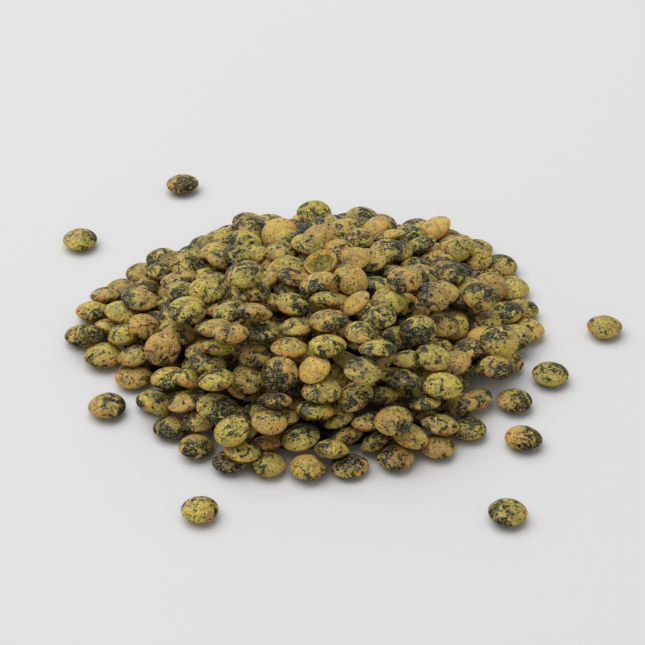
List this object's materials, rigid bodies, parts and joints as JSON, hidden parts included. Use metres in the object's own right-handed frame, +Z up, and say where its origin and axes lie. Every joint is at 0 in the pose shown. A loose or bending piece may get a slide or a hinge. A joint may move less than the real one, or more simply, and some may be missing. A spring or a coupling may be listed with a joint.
{
  "type": "heap of dry green lentils",
  "caption": "Low heap of dry speckled green lentils on a flat surface, with stray lentils lying round it.",
  "frame": {"origin": "middle of the heap's flat underside, on the surface that it lies on", "axes": "+Z up from the surface, -Y towards the picture's viewer, +X to the viewer's right"},
  "size_m": [0.0761, 0.0782, 0.0142],
  "materials": {
    "lentil_heap": "satin dry seed coat, olive and ochre with blue-black mottling",
    "stray_back": "satin dry seed coat, olive and ochre with blue-black mottling",
    "stray_left": "satin dry seed coat, olive and ochre with blue-black mottling",
    "stray_right": "satin dry seed coat, olive and ochre with blue-black mottling",
    "stray_right_near": "satin dry seed coat, olive and ochre with blue-black mottling",
    "stray_front_left": "satin dry seed coat, olive and ochre with blue-black mottling",
    "stray_front_right": "satin dry seed coat, olive and ochre with blue-black mottling",
    "stray_edge_right_low": "satin dry seed coat, olive and ochre with blue-black mottling",
    "stray_edge_right_high": "satin dry seed coat, olive and ochre with blue-black mottling",
    "stray_edge_left_low": "satin dry seed coat, olive and ochre with blue-black mottling"
  },
  "bodies": {
    "root": {"lentil_heap": "lentil_heap", "stray_back": "stray_back", "stray_left": "stray_left", "stray_right": "stray_right", "stray_right_near": "stray_right_near", "stray_front_left": "stray_front_left", "stray_front_right": "stray_front_right", "stray_edge_right_low": "stray_edge_right_low", "stray_edge_right_high": "stray_edge_right_high", "stray_edge_left_low": "stray_edge_left_low"}
  },
  "joints": []
}
